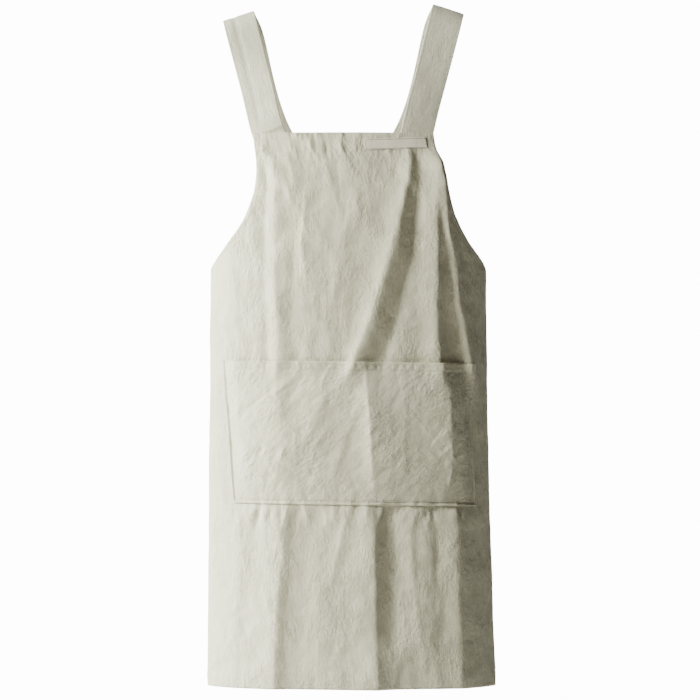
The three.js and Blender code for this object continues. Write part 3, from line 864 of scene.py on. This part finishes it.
# The label's wall.
LABEL_COLUMNS = 60
LABEL_ROWS = 12
LABEL_EDGE = 0.7
LABEL_ROUND = 1.2


def make_label():
    x = np.linspace(0, 1, LABEL_COLUMNS + 1)
    x, y = np.meshgrid(x, np.linspace(0, 1, LABEL_ROWS + 1))
    right = BIB_HALF - LABEL_INSET
    back = LABEL_LENGTH * (1 - x)
    across = right - back
    down = LABEL_DROP + LABEL_HEIGHT * y + back * math.tan(math.radians(LABEL_TILT))
    wave = LABEL_WAVE * (1 + np.sin(x * 17 + 2 * y) * np.sin(math.pi * y))
    edge = np.minimum(np.minimum(x, 1 - x) * LABEL_LENGTH, np.minimum(y, 1 - y) * LABEL_HEIGHT)
    crown = LABEL_THICKNESS * lerp(LABEL_EDGE, 1, smooth(edge / LABEL_ROUND))
    base = CLOTH / 2 + LABEL_GAP
    index = np.arange(x.size).reshape(x.shape)
    outer = body_point(across, down, base + crown + wave, True).reshape(-1, 3)
    inner = body_point(across, down, base + wave, True).reshape(-1, 3)
    uv = np.stack([across.ravel() + LABEL_CUT, -down.ravel()], 1)
    return wall_object("label_cloth", outer, inner, uv, grid_faces(index), label_cotton)


# The straps.
def unit(vector):
    return vector / np.linalg.norm(vector)


def sewn_stop(across, down, layers, count):
    """A stop of a strap that is sewn inside the cloth, square to the cloth there."""
    inside = CLOTH * (layers - 0.5) + STRAP_GAP + STRAP_THICKNESS / 2
    half = STRAP_WIDTH / 2

    def at(place, row):
        return body_point(place, row, -inside)

    point = at(across, down)
    sideways = at(across + half, down) - at(across - half, down)
    downwards = at(across, down + half) - at(across, down - half)
    out = unit(np.cross(downwards, sideways))
    edges = (at(across - half, down) + at(across + half, down)) / 2
    return {"point": point, "out": out, "bow": float((point - edges) @ out), "count": count}


def strap_stops(strap):
    side = strap["side"]
    bib = side * (BIB_HALF - STRAP_WIDTH * (strap["inset"] + 0.5))
    wing = -side * (FLAT_HALF - STRAP_WIDTH / 2)
    wing_top = float(edge_down(wing))
    slope = math.radians(SHOULDER_SLOPE)
    top = np.array([side * SHOULDER_SPAN / 2, 0, strap["rise"] * SHOULDER_TILT])
    up = np.array([side * math.sin(slope), 0, math.cos(slope)])
    front = sewn_stop(bib, 0, 2, 40)
    rear = sewn_stop(wing, wing_top, 1, 12)
    crossing = np.array([0, CROSS_DEPTH, -CROSS_DROP])

    def bend(to, degrees, count):
        turn = math.radians(degrees)
        away = (to - top) * (1, 0, 1)
        point = top + unit(away) * SHOULDER_RADIUS * (1 - math.cos(turn))
        point = point + np.array([0, SHOULDER_RADIUS * math.sin(turn), 0])
        out = up * math.cos(turn) + np.array([0, math.sin(turn), 0])
        return {"point": point, "out": out, "bow": 0, "count": count}

    def free(point, out, count):
        return {"point": point, "out": np.array(out), "bow": 0, "count": count}

    chest = (front["point"] + bend(front["point"], -SHOULDER_TURN, 0)["point"]) / 2
    blade = lerp(bend(crossing, SHOULDER_TURN, 0)["point"], crossing, 0.45)
    blade = blade + np.array([side * BLADE_SPREAD, BLADE_BULGE, 0])
    lean = side * (top[0] - front["point"][0]) / (top[2] - front["point"][2])
    slant = abs(rear["point"][0] - crossing[0]) / (crossing[2] - rear["point"][2])
    return [
        sewn_stop(bib - side * lean * STRAP_LAP, STRAP_LAP, 2, 12),
        front,
        free(chest, front["out"] + 0.3 * up, 36),
        bend(front["point"], -SHOULDER_TURN, SHOULDER_STEPS),
        bend(front["point"], -HALF_TURN, SHOULDER_STEPS),
        bend(front["point"], 0, SHOULDER_STEPS),
        bend(crossing, HALF_TURN, SHOULDER_STEPS),
        bend(crossing, SHOULDER_TURN, 40),
        free(blade, (side * 0.25, 1, 0.2), 48),
        free(crossing, (0, 1, 0), 36),
        rear,
        sewn_stop(wing + side * slant * STRAP_LAP, wing_top + STRAP_LAP, 1, 0),
    ]


def spline(points, k, t):
    """A centripetal Catmull-Rom curve from point k to the next, and its direction there."""
    last = len(points) - 1
    p1, p2 = points[k], points[min(k + 1, last)]
    p0 = points[k - 1] if k > 0 else 2 * p1 - p2
    p3 = points[k + 2] if k + 2 <= last else 2 * p2 - p1
    d0, d1, d2 = (math.sqrt(np.linalg.norm(b - a)) for a, b in ((p0, p1), (p1, p2), (p2, p3)))
    m1 = ((p1 - p0) / d0 - (p2 - p0) / (d0 + d1) + (p2 - p1) / d1) * d1
    m2 = ((p2 - p1) / d1 - (p3 - p1) / (d1 + d2) + (p3 - p2) / d2) * d1
    c2 = 3 * (p2 - p1) - 2 * m1 - m2
    c3 = 2 * (p1 - p2) + m1 + m2
    return p1 + m1 * t + c2 * t * t + c3 * t**3, unit(m1 + 2 * c2 * t + 3 * c3 * t * t)


def strap_stations(strap):
    stops = strap_stops(strap)
    points = [stop["point"] for stop in stops]
    last = len(stops) - 1
    crossing = points[last - 2]
    stations = []
    places = [(k, i / stops[k]["count"]) for k in range(last) for i in range(stops[k]["count"])]
    for k, t in places + [(last - 1, 1.0)]:
        start, end = stops[k], stops[k + 1]
        middle, along = spline(points, k, t)
        nearness = 1 - smooth(np.linalg.norm(middle - crossing) / STRAP_WIDTH - CROSSING_REACH)
        level = unit(np.cross([1, 0, 0], along))
        out = lerp(lerp(unit(start["out"]), unit(end["out"]), t), level, nearness)
        out = unit(out - along * (out @ along))
        lift = strap["over"] * nearness * (STRAP_THICKNESS + STRAP_GAP)
        bow = lerp(start["bow"], end["bow"], t)
        stations.append((middle + out * lift, out, np.cross(out, along), bow))
    return [np.array(column) for column in zip(*stations)]


# A strap thins to a share of STRAP_EDGE at its rounded edges, and has a groove along each line of
# stitches.
STRAP_SIDES = 30
STRAP_EDGE = 0.35
STRAP_ROUND = 1.6
STRAP_GROOVE = 0.28
STRAP_GROOVE_WIDTH = 1.1


def strap_profile(count):
    """Places across a strap and half its thickness there, thin at its folded edges."""
    aside = -np.cos(np.linspace(0, math.pi, count))
    from_edge = (1 - np.abs(aside)) * STRAP_WIDTH / 2
    rounded = np.sqrt(np.clip(from_edge / STRAP_ROUND, 0, 1))
    half = STRAP_THICKNESS / 2 * lerp(STRAP_EDGE, 1, rounded)
    return aside, half + seam_groove(from_edge - STITCH_INSET, STRAP_GROOVE, STRAP_GROOVE_WIDTH)


# A strap's ripple along its edges, its lengthwise crease, and how it comes flush with the
# bib's face just above the bib's top edge. Lengths are in millimetres.
RIPPLE = 0.35
RIPPLE_LENGTH = 23
CREASE_PLACE = 0.3
CREASE_WIDTH = 0.13
FLUSH = 2.4
FLUSH_RISE = 6
FLUSH_END = 14
FLUSH_FADE = 40
LOOSE_START = STRAP_LAP + 6
LOOSE_RUN = 30


def strap_points(strap, aside, offset):
    """Points of a strap's surface, one row for each station."""
    middle, out, across, bow = strap_stations(strap)
    length = np.concatenate([[0], np.cumsum(np.linalg.norm(np.diff(middle, axis=0), axis=1))])
    aside = np.asarray(aside)
    wide = across[:, None, :] * (aside * STRAP_WIDTH / 2)[None, :, None]
    ripple = RIPPLE * np.sin(length / RIPPLE_LENGTH + strap["side"])[:, None] * aside[None, :] ** 2
    free = smooth((length - LOOSE_START) / LOOSE_RUN)
    free = free * smooth((length[-1] - LOOSE_START - length) / LOOSE_RUN)
    from_crease = (-aside * strap["side"] - CREASE_PLACE) / CREASE_WIDTH
    fold = -strap["crease"] * np.exp(-(np.abs(from_crease) ** 1.5))
    fold = fold[None, :] * free[:, None]
    above = length - STRAP_LAP
    flush = FLUSH * smooth(above / FLUSH_RISE) * (1 - smooth((above - FLUSH_END) / FLUSH_FADE))
    fold = fold + flush[:, None]
    height = offset - bow[:, None] * aside[None, :] ** 2 + ripple * free[:, None] + fold
    return middle[:, None, :] + wide + out[:, None, :] * height[..., None], length


def make_strap(strap):
    aside, half = strap_profile(STRAP_SIDES)
    outer, length = strap_points(strap, aside, half)
    inner, _ = strap_points(strap, aside, -half)
    index = np.arange(outer[..., 0].size).reshape(outer.shape[:2])
    u = np.broadcast_to(aside * STRAP_WIDTH / 2, index.shape)
    v = np.broadcast_to(length[:, None], index.shape)
    uv = np.stack([u.ravel() + STRAP_CUT * strap["side"], v.ravel()], 1)
    name = strap["name"] + "_webbing"
    return wall_object(
        name, outer.reshape(-1, 3), inner.reshape(-1, 3), uv, grid_faces(index), strap_linen)


# Stitches, each a small pointed bead that lies along its line.
BEAD_SIDES = 5
BEAD_RINGS = ((-0.8, 0.75), (0.0, 1.0), (0.8, 0.75))


def stitch_line(points, outs, radius):
    """Stitches at even steps along a line of points, with the cloth's outward side at each."""
    length = np.concatenate([[0], np.cumsum(np.linalg.norm(np.diff(points, axis=0), axis=1))])
    places = np.arange(STITCH_PITCH / 2, length[-1], STITCH_PITCH)

    def on_line(values, where):
        return np.stack([np.interp(where, length, values[:, i]) for i in range(3)], 1)

    at = on_line(points, places)
    out = on_line(outs, places)
    along = on_line(points, places + 1) - on_line(points, places - 1)
    along /= np.linalg.norm(along, axis=1, keepdims=True)
    aside = np.cross(along, out)
    aside /= np.linalg.norm(aside, axis=1, keepdims=True)
    lift = np.cross(aside, along)
    vertices, faces = [], []
    for p, a, s, u in zip(at, along, aside, lift):
        first = len(vertices)
        vertices.append(p - a * STITCH / 2)
        for place, size in BEAD_RINGS:
            for i in range(BEAD_SIDES):
                turn = 2 * math.pi * i / BEAD_SIDES
                radial = s * math.cos(turn) + u * math.sin(turn)
                vertices.append(p + a * place * STITCH / 2 + radial * radius * size)
        vertices.append(p + a * STITCH / 2)
        end = len(vertices) - 1
        for i in range(BEAD_SIDES):
            j = (i + 1) % BEAD_SIDES
            faces.append((first, first + 1 + j, first + 1 + i))
            for ring in range(len(BEAD_RINGS) - 1):
                low = first + 1 + ring * BEAD_SIDES
                faces.append((low + i, low + j, low + BEAD_SIDES + j, low + BEAD_SIDES + i))
            high = first + 1 + (len(BEAD_RINGS) - 1) * BEAD_SIDES
            faces.append((high + i, high + j, end))
    return vertices, faces


def make_stitches(name, lines, material=thread_cotton, radius=THREAD_RADIUS):
    vertices, faces = [], []
    for points, outs in lines:
        more_vertices, more_faces = stitch_line(points, outs, radius)
        faces += [tuple(i + len(vertices) for i in face) for face in more_faces]
        vertices += more_vertices
    mesh = bpy.data.meshes.new(name)
    mesh.from_pydata((np.array(vertices) * MM).tolist(), [], faces)
    mesh.polygons.foreach_set("use_smooth", np.ones(len(faces), bool))
    mesh.materials.append(material)
    made = bpy.data.objects.new(name, mesh)
    bpy.context.scene.collection.objects.link(made)
    return made


def body_line(across, down):
    """A line of stitches on the body's outer face."""
    points = body_point(across, down, CLOTH / 2 + 0.1, True)
    return points, np.broadcast_to(oval_at(across, down)[4], points.shape)


def pocket_line(x, y):
    across, down = pocket_place(x, y)
    points = pocket_point(x, y, CLOTH + 0.1)
    return points, np.broadcast_to(oval_at(across, down)[4], points.shape)


def body_stitch_lines():
    band = np.linspace(-1, 1, 240)
    hem = np.linspace(-1, 1, 700)
    lines = [
        body_line(band * (edge_at(BIB_HEM) - 3), np.full(band.shape, float(BIB_HEM))),
        body_line(hem * (FLAT_HALF - 2), np.full(hem.shape, float(BIB_TO_HEM - BOTTOM_HEM))),
    ]
    for side in (-1, 1):
        down = np.linspace(2, 0.985 * ARMHOLE_DROP, 320)
        lines.append(body_line(side * (edge_at(down) - SIDE_HEM), down))
        down = np.linspace(ARMHOLE_DROP + 2, BIB_TO_HEM - 2, 300)
        lines.append(body_line(np.full(down.shape, side * (FLAT_HALF - SIDE_HEM)), down))
    return lines


def pocket_stitch_lines():
    inset_x = POCKET_BORDER / POCKET_WIDTH
    inset_y = POCKET_BORDER / POCKET_HEIGHT
    run = np.linspace(0, 1, 300)
    level = lerp(inset_x, 1 - inset_x, run)
    return [
        pocket_line(np.full(run.shape, inset_x), run * (1 - inset_y)),
        pocket_line(np.full(run.shape, 1 - inset_x), run * (1 - inset_y)),
        pocket_line(level, np.full(run.shape, 1 - inset_y)),
        pocket_line(level, np.full(run.shape, POCKET_HEM / POCKET_HEIGHT)),
    ]


def strap_stitch_lines(strap):
    lines = []
    inset = 1 - 2 * STITCH_INSET / STRAP_WIDTH
    _, out, _, _ = strap_stations(strap)
    for aside in (-inset, inset):
        for face in (1, -1):
            points, _ = strap_points(strap, [aside], face * (STRAP_THICKNESS / 2 - 0.25))
            lines.append((points[:, 0], out * face))
    return lines


def label_stitch_lines():
    right = BIB_HALF - LABEL_INSET
    slope = math.tan(math.radians(LABEL_TILT))
    near, far = LABEL_BORDER, LABEL_LENGTH - LABEL_BORDER
    top, foot = LABEL_BORDER, LABEL_HEIGHT - LABEL_BORDER
    corners = [(near, top), (far, top), (far, foot), (near, foot), (near, top)]
    lines = []
    for (back_a, low_a), (back_b, low_b) in zip(corners, corners[1:]):
        run = np.linspace(0, 1, 60)
        back = lerp(back_a, back_b, run)
        across = right - back
        down = LABEL_DROP + lerp(low_a, low_b, run) + back * slope
        stand = CLOTH / 2 + LABEL_GAP + LABEL_THICKNESS + 0.15
        points = body_point(across, down, stand, True)
        lines.append((points, np.broadcast_to(oval_at(across, down)[4], points.shape)))
    return lines


def dress(piece, node):
    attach(piece, "root")
    if node:
        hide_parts(node)


body = make_body()
dress(body, "apron_body")
body_stitches = make_stitches("body_stitches", body_stitch_lines())
dress(body_stitches, None)

pocket = make_pocket()
dress(pocket, "pocket")
pocket_stitches = make_stitches("pocket_stitches", pocket_stitch_lines())
dress(pocket_stitches, None)

label = make_label()
dress(label, "label")
label_stitches = make_stitches(
    "label_stitches", label_stitch_lines(), label_thread, LABEL_STITCH_RADIUS)
dress(label_stitches, None)

for strap in STRAPS:
    webbing = make_strap(strap)
    dress(webbing, strap["name"])
    stitches = make_stitches(strap["name"] + "_stitches", strap_stitch_lines(strap))
    dress(stitches, None)
    strap_points(strap, [0], 0)[1][-1] * MM

# Studio: a pale floor well below, a white surround, and soft light from the left.
FLOOR_Z = -2.3
FLOOR_HALF = 3.0
FLOOR_TONES = ((0.82, 0.82, 0.81), (0.86, 0.86, 0.85))
AMBIENT = 0.02
WHITE = 14


def make_floor():
    mesh = bpy.data.meshes.new("floor")
    turns = ((-1, -1), (1, -1), (1, 1), (-1, 1))
    corners = [(x * FLOOR_HALF, y * FLOOR_HALF, FLOOR_Z) for x, y in turns]
    mesh.from_pydata(corners, [], [(0, 1, 2, 3)])
    n = Nodes("floor_paint")
    place = n.add("ShaderNodeTexCoord").outputs["Object"]
    n.join(n.mix(n.noise(place, 3, 2, 0.5), *FLOOR_TONES), n.shader.inputs["Base Color"])
    n.shader.inputs["Roughness"].default_value = 0.9
    mesh.materials.append(n.material)
    floor = bpy.data.objects.new("floor", mesh)
    bpy.context.scene.collection.objects.link(floor)


def area_light(name, place, width, height, power, colour):
    data = bpy.data.lights.new(name, "AREA")
    data.shape = "RECTANGLE"
    data.size = width
    data.size_y = height
    data.energy = power
    data.color = colour
    light = bpy.data.objects.new(name, data)
    light.location = place
    direction = Vector(AIM) - Vector(place)
    light.rotation_euler = direction.to_track_quat("-Z", "Y").to_euler()
    bpy.context.scene.collection.objects.link(light)


def make_world():
    """A white surround, which lights the cloth only a little."""
    world = bpy.data.worlds.new("studio")
    bpy.context.scene.world = world
    world.use_nodes = True
    tree = world.node_tree
    background = tree.nodes["Background"]
    background.inputs["Color"].default_value = (1, 1, 1, 1)
    path = tree.nodes.new("ShaderNodeLightPath")
    spread = tree.nodes.new("ShaderNodeMapRange")
    spread.inputs["To Min"].default_value = AMBIENT
    spread.inputs["To Max"].default_value = WHITE
    tree.links.new(path.outputs["Is Camera Ray"], spread.inputs["Value"])
    tree.links.new(spread.outputs[0], background.inputs["Strength"])


make_floor()
make_world()

# The lights, in metres and watts, all aimed at the apron's middle.
AIM = (0, 0, -0.5)
CYAN_WHITE = (0.97, 1, 1)
PINK_WHITE = (1, 0.95, 1)
LIGHTS = table(
    "name place width height power colour",
    [
        ("key", (-2.35, -1.75, 1.0), 0.8, 1.3, 255, CYAN_WHITE),
        ("rim", (-3.0, 0.3, -0.2), 0.9, 2.0, 420, CYAN_WHITE),
        ("fill", (0.7, -3.3, 0.5), 2.2, 1.8, 9.5, PINK_WHITE),
        ("back", (0.6, 3.4, 0.3), 2.0, 2.0, 60, PINK_WHITE),
    ],
)
for light in LIGHTS:
    area_light(**light)
